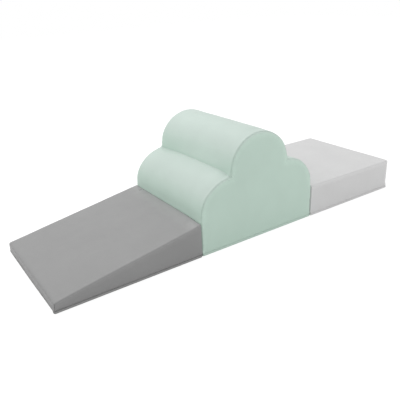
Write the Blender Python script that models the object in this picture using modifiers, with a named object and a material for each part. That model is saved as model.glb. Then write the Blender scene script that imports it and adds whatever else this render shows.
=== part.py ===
"""Soft play foam climber: three foam blocks that stand in a row and part from each other.

A wedge ramp, a cloud-shaped bump and a flat platform, each a foam core in a sewn cover with
a zip, joined end to end by strips of hook and loop. Metres, +Z up. The row runs along X with
the ramp at -X, stands on z = 0 and has its middle over the origin. The near side is -Y.
"""

from math import cos, hypot, atan2, pi, radians, sin, sqrt

import bmesh
import bpy
from mathutils import Vector

# Block sizes
block_width = 0.600
low_height = 0.165  # the platform, and the ramp at its back
ramp_length = 0.678
nose_height = 0.048
platform_length = 0.612

# Cloud outline: a top bump between two side bumps, round up to the straight ends
cloud_length = 0.670
cloud_height = 0.511
side_bump_height = 0.343
side_bump_radius = 0.169
top_bump_radius = 0.168

# Covers
cover_thickness = 0.0015
base_thickness = 0.0015
edge_radius = 0.008  # where a side panel turns into the wrap
corner_softness = 0.004  # how much rounder the wrap's own corners are
seam_gap = 0.001
top_crown = 0.004  # how far the low blocks swell in the middle of the top
fit_gap = 0.0003

# Binding round the foot
binding_height = 0.008
binding_proud = 0.004
binding_round = 0.002
binding_gap = 0.001  # between the bindings of two blocks that stand together

# Hook and loop strips between the blocks
strip_width = 0.500
strip_height = 0.050
hook_thickness = 0.0016
loop_thickness = 0.0025

# Zip along the foot of the far side
zip_margin = 0.045  # from the block's ends to the zip opening
tape_thickness = 0.0006
tape_width = 0.0135
tape_overrun = 0.015
coil_width = 0.003
coil_thickness = 0.0022
stop_length = 0.003
slider_length = 0.012
slider_plate = 0.0012
slider_wall = 0.0008
slider_side_gap = 0.0006
post_width = 0.001

# Pull tab, hooked under an arch on the slider
pull_length = 0.026
pull_width = 0.006
pull_thickness = 0.0012
pull_round = 0.002
arch_reach = 0.0022
arch_leg = 0.0014
arch_bar = 0.001
arch_thickness = 0.0014

# How finely round shapes are divided
corner_steps = 4
bump_steps = 11
edge_facets = 3  # an odd number, so that the seam lies inside a facet
pull_steps = 4

# Where the crowned tops have points between their corners
run_shares = (0.1, 0.3, 0.5, 0.7, 0.9)
width_shares = (0.1, 0.35, 0.65, 0.9)

# Sizes that follow from those above
module_gap = hook_thickness + loop_thickness + 3 * fit_gap
binding_pressed = (module_gap - binding_gap) / 2
corner_radius = edge_radius + corner_softness
half_width = block_width / 2
foot = base_thickness + fit_gap  # where the foam and the binding start
binding_top = foot + binding_height
cover_foot = binding_top + fit_gap
foam_inset = cover_thickness + fit_gap
row_length = ramp_length + cloud_length + platform_length + 2 * module_gap

# Depths of the zip's layers, from the block's middle outwards
tape_face = half_width - cover_thickness - fit_gap
tape_back = tape_face - tape_thickness
foam_far_face = tape_back - fit_gap
plate_back = foam_far_face - slider_plate
coil_back = tape_face + fit_gap
coil_face = coil_back + coil_thickness
plate_inner = coil_face + fit_gap
plate_outer = plate_inner + slider_plate

# Heights of the zip's layers, from its middle line
slit_half = post_width / 2 + fit_gap
coil_edge = slit_half + coil_width
slider_half = coil_edge + fit_gap + slider_wall
zip_line = binding_top + slider_side_gap + slider_half
zip_opening_top = zip_line + slider_half + slider_side_gap

# The pull's hinge under the arch
pin_swing = pull_thickness / sqrt(2) + fit_gap  # room for the pull's bar to turn
arch_end = arch_reach + arch_leg
pull_eye_end = hypot(arch_end, pin_swing + arch_bar) + fit_gap

for old in list(bpy.data.objects):
    bpy.data.objects.remove(old, do_unlink=True)

parts = bpy.data.collections.new("soft_play_foam_climber")
cutters = bpy.data.collections.new("cutters")
bpy.context.scene.collection.children.link(parts)
bpy.context.scene.collection.children.link(cutters)


def material(name, colour, roughness, metallic=0.0):
    made = bpy.data.materials.new(name)
    made.use_nodes = True
    shader = made.node_tree.nodes["Principled BSDF"]
    shader.inputs["Base Color"].default_value = (*colour, 1.0)
    shader.inputs["Roughness"].default_value = roughness
    shader.inputs["Metallic"].default_value = metallic
    made.diffuse_color = (*colour, 1.0)
    return made


ramp_cloth = material("ramp_coated_fabric", (0.31, 0.31, 0.31), 0.55)
cloud_cloth = material("cloud_coated_fabric", (0.47, 0.62, 0.54), 0.55)
platform_cloth = material("platform_coated_fabric", (0.62, 0.62, 0.62), 0.55)
base_cloth = material("non_slip_fabric", (0.12, 0.12, 0.12), 0.9)
foam = material("foam", (0.85, 0.82, 0.74), 0.95)
zip_cloth = material("zip_tape", (0.2, 0.2, 0.2), 0.9)
zip_plastic = material("zip_coil", (0.16, 0.16, 0.16), 0.4)
zip_metal = material("zip_metal", (0.6, 0.6, 0.62), 0.35, 1.0)
hook_and_loop = material("hook_and_loop", (0.75, 0.75, 0.75), 0.95)


def add_part(name, data, finish, parent, place=(0, 0, 0), turn=(0, 0, 0)):
    piece = bpy.data.objects.new(name, data)
    parts.objects.link(piece)
    if not data.materials:
        data.materials.append(finish)
    piece.parent = parent
    piece.location = place
    piece.rotation_euler = turn
    return piece


def box_mesh(name, low, high):
    """A box between two opposite corners."""
    low, high = Vector(low), Vector(high)
    shape = bmesh.new()
    bmesh.ops.create_cube(shape, size=1)
    bmesh.ops.scale(shape, vec=high - low, verts=shape.verts)
    bmesh.ops.translate(shape, vec=(low + high) / 2, verts=shape.verts)
    mesh = bpy.data.meshes.new(name)
    shape.to_mesh(mesh)
    shape.free()
    return mesh


def flat_curve(name, outlines, thickness):
    """Outlines in the XY plane, the first filled and any others cut from it, with a thickness."""
    curve = bpy.data.curves.new(name, "CURVE")
    curve.dimensions = "2D"
    curve.fill_mode = "BOTH"
    curve.extrude = thickness / 2
    for outline in outlines:
        spline = curve.splines.new("POLY")
        spline.points.add(len(outline) - 1)
        for point, (x, y) in zip(spline.points, outline):
            point.co = (x, y, 0, 1)
        spline.use_cyclic_u = True
    return curve


def cut(piece, name, low, high):
    """Cuts a box out of a piece, given in the piece's own frame."""
    cutter = bpy.data.objects.new(name, box_mesh(name, low, high))
    cutters.objects.link(cutter)
    cutter.parent = piece.parent
    cutter.location = piece.location
    cutter.hide_render = True
    cutter.display_type = "WIRE"
    boolean = piece.modifiers.new("cut " + name, "BOOLEAN")
    boolean.operation = "DIFFERENCE"
    boolean.object = cutter


def arc(centre, radius, start, end, steps):
    turns = [start + (end - start) * step / steps for step in range(steps + 1)]
    return [Vector((centre[0] + radius * cos(a), centre[1] + radius * sin(a))) for a in turns]


def corner_arc(corner, radius, start, end, inset):
    """Rounds the corner between two straight runs, whose outward normals are start and end."""
    first, second = Vector((cos(start), sin(start))), Vector((cos(end), sin(end)))
    centre = Vector(corner) - radius * (first + second) / (1 + first.dot(second))
    return arc(centre, radius - inset, start, end, corner_steps)


def crowned_run(start, end):
    """Points between two corners, each with its share of the crown."""
    return [(*start.lerp(end, share), 1 - (2 * share - 1) ** 4) for share in run_shares]


def low_path(length, start_height, end_height, inset):
    """The wrap's path over a ramp or platform, as (x, z, share of the crown)."""
    slope = atan2(end_height - start_height, length)
    upright, top, far_end = pi, pi / 2 + slope, 0.0
    front = corner_arc((0, start_height), corner_radius, upright, top, inset)
    back = corner_arc((length, end_height), corner_radius, top, far_end, inset)
    run = crowned_run(front[-1], back[0])
    return [(*p, 0) for p in front] + run + [(*p, 0) for p in back]


def cloud_path(inset):
    """The wrap's path over the cloud: two quarter bumps with the top bump between them."""
    side_centre = Vector((side_bump_radius, side_bump_height - side_bump_radius))
    top_centre = Vector((cloud_length / 2, cloud_height - top_bump_radius))
    side_radius, top_radius = side_bump_radius - inset, top_bump_radius - inset
    apart = top_centre - side_centre
    along = (side_radius**2 - top_radius**2 + apart.length_squared) / (2 * apart.length)
    up = sqrt(side_radius**2 - along**2)
    across = apart.normalized()
    valley = side_centre + along * across + up * Vector((-across.y, across.x))
    side_end = atan2(valley.y - side_centre.y, valley.x - side_centre.x)
    top_start = atan2(valley.y - top_centre.y, valley.x - top_centre.x) % (2 * pi)
    left = arc(side_centre, side_radius, pi, side_end, bump_steps)
    top = arc(top_centre, top_radius, top_start, pi - top_start, 2 * bump_steps)
    right = [Vector((cloud_length - p.x, p.y)) for p in reversed(left)]
    return [(*p, 0) for p in left + top[1:-1] + right]


def section(path, inset, y, bottom):
    """One slice of a block at the depth y, from the foot of one end round to the other."""
    points = path(inset)
    ends = [(points[0][0], bottom, 0), points, (points[-1][0], bottom, 0)]
    across = 1 - min(abs(y) / (half_width - edge_radius), 1) ** 4
    return [
        Vector((x, y, z + top_crown * crown * across))
        for x, z, crown in [ends[0], *ends[1], ends[2]]
    ]


def edge_point(share):
    """Inset and depth along a side edge: share is 0 on the wrap's flat and 1 on the side's."""
    facet = min(int(share * edge_facets), edge_facets - 1)
    corners = [pi / 2 * (facet + k) / edge_facets for k in (0, 1)]
    start, end = (Vector((1 - cos(a), sin(a))) for a in corners)
    return start.lerp(end, share * edge_facets - facet)


def edge_rows(path, side, shares, base_inset, drop, reach, bottom):
    """Slices along one side edge, in order of y."""
    rows = []
    for share in shares:
        inset, out = edge_point(share)
        y = side * (half_width - edge_radius + reach * out)
        rows.append((y, section(path, base_inset + drop * inset, y, bottom)))
    return [row for _, row in sorted(rows, key=lambda item: item[0])]


def loft(name, rows, near_cap=False, far_cap=False, closed=False):
    """Joins slices that have as many points each. Their order of y makes the outside face out."""
    shape = bmesh.new()
    rings = [[shape.verts.new(point) for point in row] for row in rows]
    count = len(rings[0])
    for ring, beyond in zip(rings, rings[1:]):
        for i in range(count if closed else count - 1):
            j = (i + 1) % count
            shape.faces.new((ring[i], ring[j], beyond[j], beyond[i]))
    if near_cap:
        shape.faces.new(reversed(rings[0]))
    if far_cap:
        shape.faces.new(rings[-1])
    shape.normal_update()
    mesh = bpy.data.meshes.new(name)
    shape.to_mesh(mesh)
    shape.free()
    mesh.shade_smooth()
    mesh.set_sharp_from_angle(angle=radians(50))
    return mesh


def thicken(piece, thickness):
    solidify = piece.modifiers.new("thickness", "SOLIDIFY")
    solidify.thickness = thickness
    solidify.offset = -1
    solidify.use_even_offset = True


def rounded_rectangle(low, high, radius, steps):
    corners = ((low[0], low[1], pi), (high[0], low[1], 1.5 * pi), (high[0], high[1], 0), (low[0], high[1], pi / 2))
    points = []
    for x, y, start in corners:
        inward = Vector((1 if x == low[0] else -1, 1 if y == low[1] else -1))
        centre = Vector((x, y)) + radius * inward
        points += arc(centre, radius, start, start + pi / 2, steps)
    return points


def build_covers(name, path, length, cloth, frame, pressed):
    """The foam core, its sewn cover, and the base with its binding. pressed says which ends,
    left and right, stand against another block."""
    flat_rows = [
        (side_share * 2 - 1) * (half_width - edge_radius) for side_share in width_shares
    ]
    split = seam_gap / (2 * edge_facets * 2 * edge_radius * sin(pi / 4 / edge_facets))
    wrap_shares = (0, 1 / edge_facets, 0.5 - split)
    panel_shares = (0.5 + split, 1 - 1 / edge_facets, 1)
    whole_shares = [k / edge_facets for k in range(edge_facets + 1)]

    def inside(inset, bottom):
        return [section(path, inset, y, bottom) for y in flat_rows]

    foam_drop = edge_radius - foam_inset
    far_reach = foam_far_face - (half_width - edge_radius)
    foam_rows = edge_rows(path, -1, whole_shares, foam_inset, foam_drop, foam_drop, foot)
    foam_rows += inside(foam_inset, foot)
    foam_rows += edge_rows(path, 1, whole_shares, foam_inset, foam_drop, far_reach, foot)
    core_mesh = loft(name + "_foam_core", foam_rows, near_cap=True, far_cap=True, closed=True)
    core = add_part(name + "_foam_core", core_mesh, foam, frame)

    cover = (0, edge_radius, edge_radius, cover_foot)
    wrap_rows = edge_rows(path, -1, wrap_shares, *cover) + inside(0, cover_foot)
    wrap_rows += edge_rows(path, 1, wrap_shares, *cover)
    wrap = add_part(name + "_wrap_cover", loft(name + "_wrap_cover", wrap_rows), cloth, frame)
    thicken(wrap, cover_thickness)

    near_rows = edge_rows(path, -1, panel_shares, *cover)
    near_mesh = loft(name + "_near_side_panel", near_rows, near_cap=True)
    near = add_part(name + "_near_side_panel", near_mesh, cloth, frame)
    thicken(near, cover_thickness)

    far_rows = edge_rows(path, 1, panel_shares, *cover)
    far_mesh = loft(name + "_far_side_panel", far_rows, far_cap=True)
    far = add_part(name + "_far_side_panel", far_mesh, cloth, frame)
    thicken(far, cover_thickness)

    base_outline = rounded_rectangle((0, -half_width), (length, half_width), edge_radius, edge_facets)
    base = flat_curve(name + "_base_panel", [base_outline], base_thickness)
    add_part(name + "_base_panel", base, base_cloth, frame, (0, 0, base_thickness / 2))

    proud = [binding_pressed if is_pressed else binding_proud for is_pressed in pressed]

    def binding_row(trim, z):
        low = (trim - proud[0], trim - half_width - binding_proud)
        high = (length + proud[1] - trim, half_width + binding_proud - trim)
        outer = rounded_rectangle(low, high, edge_radius + binding_proud - trim, edge_facets)
        return [(*point, z) for point in outer]

    inner = rounded_rectangle(
        (cover_thickness, cover_thickness - half_width),
        (length - cover_thickness, half_width - cover_thickness),
        edge_radius - cover_thickness,
        edge_facets,
    )
    binding_rows = [
        [(*point, foot) for point in inner],
        binding_row(binding_round, foot),
        binding_row(0, foot + binding_round),
        binding_row(0, binding_top - binding_round),
        binding_row(binding_round, binding_top),
        [(*point, binding_top) for point in inner],
    ]
    binding_mesh = loft(name + "_base_binding", [*binding_rows, binding_rows[0]], closed=True)
    binding = add_part(name + "_base_binding", binding_mesh, cloth, frame)
    weld = binding.modifiers.new("close the ring", "WELD")
    weld.merge_threshold = fit_gap / 10
    return core, far


def slider_mesh():
    """A top plate with two flanges over the coils and a post down to the plate behind."""
    half = [
        (plate_back, slider_half),
        (foam_far_face, slider_half),
        (foam_far_face, post_width / 2),
        (plate_inner, post_width / 2),
        (plate_inner, coil_edge + fit_gap),
        (coil_back, coil_edge + fit_gap),
        (coil_back, slider_half),
        (plate_outer, slider_half),
    ]
    outline = half + [(y, -z) for y, z in reversed(half)]
    body = curve_to_object("slider_body", flat_curve("slider_body", [outline], slider_length))
    body.rotation_euler = (radians(90), 0, radians(90))

    root = plate_outer - slider_plate / 2
    under, top = plate_outer + 2 * pin_swing, plate_outer + 2 * pin_swing + arch_bar
    right = [(arch_reach, root), (arch_reach, under)]
    left = [(-x, y) for x, y in reversed(right)]
    arch_outline = [(-arch_end, root), (-arch_end, top), (arch_end, top), (arch_end, root), *right, *left]
    arch = curve_to_object("slider_arch", flat_curve("slider_arch", [arch_outline], arch_thickness))
    join = body.modifiers.new("arch", "BOOLEAN")
    join.operation = "UNION"
    join.object = arch
    mesh = evaluated_mesh("zip_slider", body)
    mesh.transform(body.matrix_world)
    for helper in (body, arch):
        bpy.data.objects.remove(helper, do_unlink=True)
    return mesh


def curve_to_object(name, curve):
    """A mesh object with the curve's shape and its caps welded on."""
    holder = bpy.data.objects.new(name + "_curve", curve)
    cutters.objects.link(holder)
    mesh = evaluated_mesh(name, holder)
    bpy.data.objects.remove(holder, do_unlink=True)
    shape = bmesh.new()
    shape.from_mesh(mesh)
    bmesh.ops.remove_doubles(shape, verts=shape.verts, dist=fit_gap / 100)
    bmesh.ops.recalc_face_normals(shape, faces=shape.faces)
    shape.to_mesh(mesh)
    shape.free()
    piece = bpy.data.objects.new(name, mesh)
    piece.hide_render = True
    piece.display_type = "WIRE"
    cutters.objects.link(piece)
    return piece


def evaluated_mesh(name, piece):
    bpy.context.view_layer.update()
    graph = bpy.context.evaluated_depsgraph_get()
    mesh = bpy.data.meshes.new_from_object(piece.evaluated_get(graph))
    mesh.name = name
    return mesh


def pull_curve():
    """A flat tab along -X with an eye, whose end bar lies on the hinge's axis."""
    bar = pull_thickness / 2
    outline = rounded_rectangle((-pull_length, -pull_width / 2), (bar, pull_width / 2), pull_round, pull_steps)
    eye_half = arch_thickness / 2 + fit_gap
    eye = [(-bar, -eye_half), (-bar, eye_half), (-pull_eye_end, eye_half), (-pull_eye_end, -eye_half)]
    return flat_curve("zip_pull", [outline, eye], pull_thickness)


slider_shape = slider_mesh()
pull_shape = pull_curve()


def build_zip(name, length, frame, core, far_panel):
    """The zip in the far side panel, with its slider at the closed end."""
    opening = (zip_margin, length - zip_margin)
    coil = (opening[0] + stop_length + 2 * fit_gap, opening[1] - stop_length - 2 * fit_gap)
    beyond = edge_radius
    cut(
        far_panel,
        name + "_zip_opening",
        (opening[0], half_width - edge_radius, cover_foot - beyond),
        (opening[1], half_width + beyond, zip_opening_top),
    )
    cut(
        core,
        name + "_slider_groove",
        (coil[0] - fit_gap, plate_back - fit_gap, zip_line - slider_half - fit_gap),
        (coil[1] + fit_gap, half_width, zip_line + slider_half + fit_gap),
    )
    tape = (opening[0] - tape_overrun, opening[1] + tape_overrun)
    boxes = {
        "zip_upper_tape": (tape, (tape_back, tape_face), (slit_half, slit_half + tape_width), zip_cloth),
        "zip_lower_tape": (tape, (tape_back, tape_face), (foot - zip_line, -slit_half), zip_cloth),
        "zip_upper_coil": (coil, (coil_back, coil_face), (slit_half, coil_edge), zip_plastic),
        "zip_lower_coil": (coil, (coil_back, coil_face), (-coil_edge, -slit_half), zip_plastic),
        "zip_open_stop": (
            (opening[0] + fit_gap, coil[0] - fit_gap),
            (coil_back, coil_face),
            (-coil_edge, coil_edge),
            zip_metal,
        ),
        "zip_closed_stop": (
            (coil[1] + fit_gap, opening[1] - fit_gap),
            (coil_back, coil_face),
            (-coil_edge, coil_edge),
            zip_metal,
        ),
    }
    for piece, (x, y, z, finish) in boxes.items():
        low = (x[0], y[0], zip_line + z[0])
        high = (x[1], y[1], zip_line + z[1])
        add_part(name + "_" + piece, box_mesh(piece, low, high), finish, frame)

    slider_place = (coil[1] - slider_length / 2, 0, zip_line)
    slider = add_part(name + "_zip_slider", slider_shape, zip_metal, frame, slider_place)
    pull_place = (0, plate_outer + pin_swing, 0)
    add_part(name + "_zip_pull", pull_shape, zip_metal, slider, pull_place, (radians(90), 0, 0))


def build_strip(name, frame, face, outward, thickness):
    """A strip of hook or loop on an upright end face, centred on the flat of the low blocks."""
    near = face + outward * fit_gap
    far = near + outward * thickness
    middle = (binding_top + low_height - corner_radius) / 2
    low = (min(near, far), -strip_width / 2, middle - strip_height / 2)
    high = (max(near, far), strip_width / 2, middle + strip_height / 2)
    add_part(name, box_mesh(name, low, high), hook_and_loop, frame)


def build_block(name, path, length, start, cloth, pressed):
    frame = bpy.data.objects.new(name, None)
    frame.empty_display_size = edge_radius
    frame.location = (start, 0, 0)
    parts.objects.link(frame)
    core, far_panel = build_covers(name, path, length, cloth, frame, pressed)
    build_zip(name, length, frame, core, far_panel)
    return frame


def ramp_path(inset):
    return low_path(ramp_length, nose_height, low_height, inset)


def platform_path(inset):
    return low_path(platform_length, low_height, low_height, inset)


ramp_start = -row_length / 2
cloud_start = ramp_start + ramp_length + module_gap
platform_start = cloud_start + cloud_length + module_gap

ramp = build_block("ramp", ramp_path, ramp_length, ramp_start, ramp_cloth, (False, True))
cloud = build_block("cloud", cloud_path, cloud_length, cloud_start, cloud_cloth, (True, True))
platform = build_block(
    "platform", platform_path, platform_length, platform_start, platform_cloth, (True, False)
)

build_strip("ramp_loop_strip", ramp, ramp_length, 1, loop_thickness)
build_strip("cloud_hook_strip_ramp_end", cloud, 0, -1, hook_thickness)
build_strip("cloud_hook_strip_platform_end", cloud, cloud_length, 1, hook_thickness)
build_strip("platform_loop_strip", platform, 0, -1, loop_thickness)
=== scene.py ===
from math import atan2, cos, pi, radians, sin, sqrt

import bmesh
import bpy
import numpy as np
from mathutils import Matrix, Vector, kdtree, noise
from mathutils.geometry import delaunay_2d_cdt


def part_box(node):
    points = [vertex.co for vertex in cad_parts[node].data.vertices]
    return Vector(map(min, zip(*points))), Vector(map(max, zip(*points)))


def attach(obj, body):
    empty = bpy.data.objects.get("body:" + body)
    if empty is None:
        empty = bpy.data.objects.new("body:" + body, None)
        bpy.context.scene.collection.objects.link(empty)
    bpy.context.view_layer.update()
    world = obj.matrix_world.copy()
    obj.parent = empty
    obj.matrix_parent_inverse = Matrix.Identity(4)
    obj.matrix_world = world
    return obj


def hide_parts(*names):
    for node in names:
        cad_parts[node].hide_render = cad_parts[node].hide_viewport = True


# Soft play climber: grey ramp, mint cloud bump and pale grey platform, dressed over the CAD frame
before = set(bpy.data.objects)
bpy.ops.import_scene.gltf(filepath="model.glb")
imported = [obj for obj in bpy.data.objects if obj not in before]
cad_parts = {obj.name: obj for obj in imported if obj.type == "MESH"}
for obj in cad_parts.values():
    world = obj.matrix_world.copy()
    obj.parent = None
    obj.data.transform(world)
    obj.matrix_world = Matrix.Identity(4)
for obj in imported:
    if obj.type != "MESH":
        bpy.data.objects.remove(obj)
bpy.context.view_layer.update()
scene = bpy.context.scene

viewSetup = {
    "place": (-1.3417, -1.8762, 1.0895),
    "yaw": 33.34,  # degrees from +Y towards +X
    "down": 23.312,
    "roll": -2.642,
    "lens": 43.57,
    "sensor": 36.0,
    "clip": (0.05, 100),
}

lightSetup = {
    "ambient": 0.80,
    "lamps": {
        # name: (place, width and height, watts)
        "topSoftbox": ((0.0, 1.6, 3.0), 2.5, 28.2),
        "leftSoftbox": ((-2.3, 1.8, 2.2), 2.0, 18.5),
        "frontSoftbox": ((1.2, -2.45, 1.3), 1.6, 10.4),
    },
    "aim": (0.0, 0.0, 0.2),
    "floorColour": 0.8,
    "floorGlow": 0.86,  # what the camera sees of the floor before any light falls on it
    "floorShadowShare": 0.24,
    "floorHalf": 14.0,
    "floorDrop": 0.0004,
}


def newObject(name, data):
    made = bpy.data.objects.new(name, data)
    scene.collection.objects.link(made)
    return made


def aimCamera():
    view = viewSetup
    data = bpy.data.cameras.new("productView")
    data.lens, data.sensor_width = view["lens"], view["sensor"]
    data.clip_start, data.clip_end = view["clip"]
    turns = ((-view["yaw"], "Z"), (90 - view["down"], "X"), (view["roll"], "Z"))
    yaw, down, roll = [Matrix.Rotation(radians(angle), 4, axis) for angle, axis in turns]
    camera = newObject("productView", data)
    camera.matrix_world = Matrix.Translation(view["place"]) @ yaw @ down @ roll
    scene.camera = camera
    scene.view_settings.view_transform = "Standard"


def addNode(tree, kind, inputs=None, output=0, **settings):
    # a new node, its inputs set or linked; gives one of its outputs, or the node itself
    made = tree.nodes.new(kind)
    for key, value in settings.items():
        setattr(made, key, value)
    for key, value in (inputs or {}).items():
        socket = made.inputs[key]
        if isinstance(value, bpy.types.NodeSocket):
            tree.links.new(value, socket)
        else:
            socket.default_value = (*value, 1) if socket.type == "RGBA" else value
    return made if output is None else made.outputs[output]


def maths(tree, operation, first, second=0.0):
    return addNode(tree, "ShaderNodeMath", {0: first, 1: second}, operation=operation)


def clearedTree(holder):
    holder.use_nodes = True
    holder.node_tree.nodes.clear()
    return holder.node_tree


def endStage(tree, kind, unseen, seen):
    # the camera, mirrors and glass look at one shader, and the light falls as if the other were there
    path = addNode(tree, "ShaderNodeLightPath", output=None).outputs
    direct = maths(tree, "MAXIMUM", path["Is Camera Ray"], path["Is Glossy Ray"])
    direct = maths(tree, "MAXIMUM", direct, path["Is Transmission Ray"])
    mixed = addNode(tree, "ShaderNodeMixShader", {0: direct, 1: unseen, 2: seen})
    addNode(tree, kind, {"Surface": mixed}, None)


def buildStage():
    light, white = lightSetup, (1, 1, 1)
    scene.world = bpy.data.worlds.new("whiteStudio")
    tree = clearedTree(scene.world)
    glows = {"Color": white, "Strength": light["ambient"]}, {"Color": white, "Strength": 1.0}
    endStage(tree, "ShaderNodeOutputWorld", *[addNode(tree, "ShaderNodeBackground", glow) for glow in glows])

    for name, (place, side, watts) in light["lamps"].items():
        lamp = bpy.data.lights.new(name, "AREA")
        lamp.shape, lamp.size, lamp.size_y, lamp.energy = "RECTANGLE", side, side, watts
        holder = newObject(name, lamp)
        holder.location = place
        holder.rotation_euler = (Vector(light["aim"]) - Vector(place)).to_track_quat("-Z", "Y").to_euler()

    half, grey, share = light["floorHalf"], light["floorColour"], light["floorShadowShare"]
    mesh = bpy.data.meshes.new("studioFloor")
    corners = [(-half, -half, 0), (half, -half, 0), (half, half, 0), (-half, half, 0)]
    mesh.from_pydata(corners, [], [(0, 1, 2, 3)])
    floor = newObject("studioFloor", mesh)
    floor.location.z = -light["floorDrop"]
    paint = bpy.data.materials.new("studioFloorPaint")
    tree = clearedTree(paint)
    lit, seenLit = [addNode(tree, "ShaderNodeBsdfDiffuse", {"Color": (tone,) * 3}) for tone in (grey, share)]
    glow = addNode(tree, "ShaderNodeEmission", {"Color": white, "Strength": light["floorGlow"]})
    seen = addNode(tree, "ShaderNodeAddShader", {0: seenLit, 1: glow})
    endStage(tree, "ShaderNodeOutputMaterial", lit, seen)
    mesh.materials.append(paint)


aimCamera()
buildStage()
print("camera, lamps and floor in place")


def startFinish(name, colour, roughness, **sockets):
    made = bpy.data.materials.new(name)
    made.use_nodes = True
    made.diffuse_color = (*colour, 1)
    shader = made.node_tree.nodes["Principled BSDF"]
    for key, value in {"Base_Color": (*colour, 1), "Roughness": roughness, **sockets}.items():
        shader.inputs[key.replace("_", " ")].default_value = value
    return made, made.node_tree, addNode(made.node_tree, "ShaderNodeTexCoord", output="Object")


def endFinish(made, **ends):
    tree = made.node_tree
    for key, value in ends.items():
        tree.links.new(value, tree.nodes["Principled BSDF"].inputs[key.replace("_", " ")])
    return made


def noiseAt(tree, spot, scale, detail=2.0, rough=0.5, distortion=0.0):
    values = {"Vector": spot, "Scale": scale, "Detail": detail, "Roughness": rough, "Distortion": distortion}
    return addNode(tree, "ShaderNodeTexNoise", values, "Fac")


def remap(tree, value, low, high, newLow, newHigh, kind="LINEAR"):
    values = {"Value": value, "From Min": low, "From Max": high, "To Min": newLow, "To Max": newHigh}
    return addNode(tree, "ShaderNodeMapRange", values, "Result", interpolation_type=kind)


def blended(tree, factor, first, second, kind="MIX"):
    values = {0: factor, 6: first, 7: second}
    return addNode(tree, "ShaderNodeMix", values, 2, data_type="RGBA", blend_type=kind)


def shaded(tree, colour, factor):
    # the colour times a number that varies over the surface
    grey = addNode(tree, "ShaderNodeCombineColor", {"Red": factor, "Green": factor, "Blue": factor})
    return blended(tree, 1.0, colour, grey, "MULTIPLY")


def raised(tree, height, distance, strength=1.0, under=None):
    values = {"Height": height, "Distance": distance, "Strength": strength}
    if under is not None:
        values["Normal"] = under
    return addNode(tree, "ShaderNodeBump", values)


coverFinishes = {
    # paintedLitTop: the colour painted on cloth that faces up, a painted highlight from the overhead light
    "ramp": {"colour": (0.265, 0.265, 0.265), "paintedLitTop": (0.281, 0.281, 0.281), "roughness": 0.47},
    "cloud": {"colour": (0.508, 0.650, 0.570), "paintedLitTop": (0.530, 0.629, 0.578), "roughness": 0.45},
    "platform": {"colour": (0.620, 0.619, 0.620), "paintedLitTop": (0.632, 0.631, 0.632), "roughness": 0.47},
}

grainSetup = {
    "pebbles": 820.0,  # leather grain cells per metre
    "pebbleDepth": 0.00009,
    "pebbleWarp": 0.0014,
    "creases": 95.0,
    "creaseDepth": 0.00012,
    "drift": 7.0,  # slow colour drift
    "driftDepth": 0.02,
    "between": 0.93,  # how dark the cloth is between its pebbles
    "paintedShade": 0.62,  # painted shade: how dark the cloth is painted in its seams, along its foot and over the ramp's nose
    "paintedHighlight": 1.045,  # painted highlight: how much paler the cloth is painted beside its seams and on the binding's outer fold
    "jointHighlight": 1.09,  # painted light: how much paler the ramp's top is painted beside the cloud, against the cloud's shade
}


def coatedCloth(name, colour, paintedLitTop, roughness):
    made, tree, spot = startFinish(name, colour, roughness, Specular_IOR_Level=0.5, Coat_Roughness=0.3)
    grain = grainSetup
    values = {"Vector": spot, "Scale": grain["pebbles"] / 5, "Detail": 1.0}
    warp = addNode(tree, "ShaderNodeTexNoise", values, "Color")
    values = {0: warp, 1: (grain["pebbleWarp"],) * 3, 2: spot}
    warped = addNode(tree, "ShaderNodeVectorMath", values, operation="MULTIPLY_ADD")
    values = {"Vector": warped, "Scale": grain["pebbles"]}
    cells = addNode(tree, "ShaderNodeTexVoronoi", values, "Distance", feature="DISTANCE_TO_EDGE")
    pebble = remap(tree, cells, 0.0, 0.32, 0.0, 1.0, "SMOOTHSTEP")
    fine = raised(tree, pebble, grain["pebbleDepth"], 0.8)
    crease = noiseAt(tree, spot, grain["creases"], 3.0, 0.6, 0.4)

    # painted light: cloth that faces up is painted in its paler top colour
    facing = addNode(tree, "ShaderNodeTexCoord", output="Normal")
    up = addNode(tree, "ShaderNodeSeparateXYZ", {"Vector": facing}, "Z")
    tone = blended(tree, remap(tree, up, 0.1, 0.8, 0.0, 1.0, "SMOOTHSTEP"), colour, paintedLitTop)
    # the painted shade and painted highlight that each mesh carries
    seam = addNode(tree, "ShaderNodeAttribute", None, "Fac", attribute_name="paintedShade")
    highlight = addNode(tree, "ShaderNodeAttribute", None, "Fac", attribute_name="paintedHighlight")
    patchy = remap(tree, noiseAt(tree, spot, 34.0, 4.0), 0.35, 0.7, 0.2, 1.0)
    # the painted highlight broken into patches, where the cloth is also a little smoother
    worn = maths(tree, "MULTIPLY", highlight, patchy)
    slow = noiseAt(tree, spot, grain["drift"], 3.0)
    factor = remap(tree, slow, 0.3, 0.7, 1 - grain["driftDepth"], 1 + grain["driftDepth"])
    for share in (
        remap(tree, pebble, 0.0, 1.0, grain["between"], 1.0),
        remap(tree, seam, 0.0, 1.0, 1.0, grain["paintedShade"]),
        remap(tree, worn, 0.0, 1.0, 1.0, grain["paintedHighlight"]),
        remap(tree, highlight, 2.4, 5.0, 1.0, grain["jointHighlight"]),
    ):
        factor = maths(tree, "MULTIPLY", factor, share)
    gloss = remap(tree, noiseAt(tree, spot, 21.0, 4.0), 0.3, 0.7, roughness - 0.035, roughness + 0.045)
    return endFinish(
        made,
        Normal=raised(tree, crease, grain["creaseDepth"], 0.7, fine),
        Base_Color=shaded(tree, tone, factor),
        Roughness=maths(tree, "SUBTRACT", gloss, maths(tree, "MULTIPLY", worn, 0.05)),
    )


def sinesOver(tree, spot, pitch):
    # a wave along X times a wave along Y
    axes = addNode(tree, "ShaderNodeSeparateXYZ", {0: spot}, None).outputs
    waves = [maths(tree, "SINE", maths(tree, "MULTIPLY", axes[k], 2 * pi / pitch)) for k in (0, 1)]
    return maths(tree, "MULTIPLY", *waves)


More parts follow.
